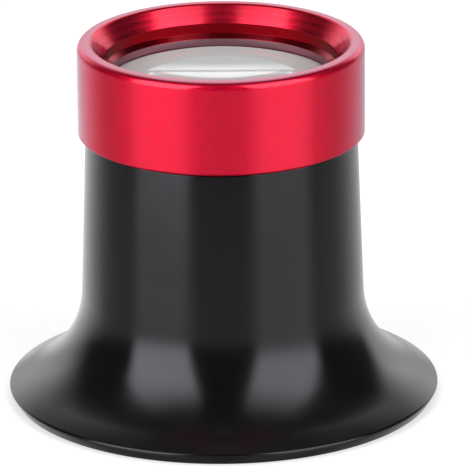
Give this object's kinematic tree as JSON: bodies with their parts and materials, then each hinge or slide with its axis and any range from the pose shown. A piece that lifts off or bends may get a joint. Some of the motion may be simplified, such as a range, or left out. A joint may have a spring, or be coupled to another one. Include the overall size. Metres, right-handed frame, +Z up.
{
  "type": "watchmaker loupe",
  "caption": "Eye loupe with a black flared eye cup and a red screw-on metal bezel that holds a biconvex magnifying lens under a coned mouth.",
  "frame": {"origin": "middle of the flat face under the brim of the eye cup, on the optical axis", "axes": "+Z up along the optical axis from the eye cup to the bezel, X and Y across it"},
  "size_m": [0.0402, 0.0402, 0.0341],
  "materials": {
    "cup_plastic": "moulded black plastic, satin gloss",
    "black_rubber": "matt black nitrile rubber",
    "red_anodised": "turned aluminium, bright red anodised",
    "spring_steel": "bright drawn spring wire",
    "lens_glass": "polished optical glass with a ground edge"
  },
  "bodies": {
    "eye_cup": {"eye_cup": "cup_plastic", "seat_ring": "black_rubber"},
    "lens": {"lens": "lens_glass"},
    "bezel": {"bezel": "red_anodised", "snap_ring": "spring_steel"}
  },
  "joints": [
    {"name": "bezel_rise", "type": "slide", "parent": "eye_cup", "child": "lens", "axis": [0, 0, 1], "range_m": [0, 0.0031]},
    {"name": "bezel_turn", "type": "hinge", "parent": "lens", "child": "bezel", "pos_m": [0, 0, 0.0298], "axis": [0, 0, 1], "range_deg": [0, 1440]}
  ],
  "couplings": [
    {"joint": "bezel_rise", "follows": "bezel_turn", "m_per_rad": 0.00011937}
  ]
}
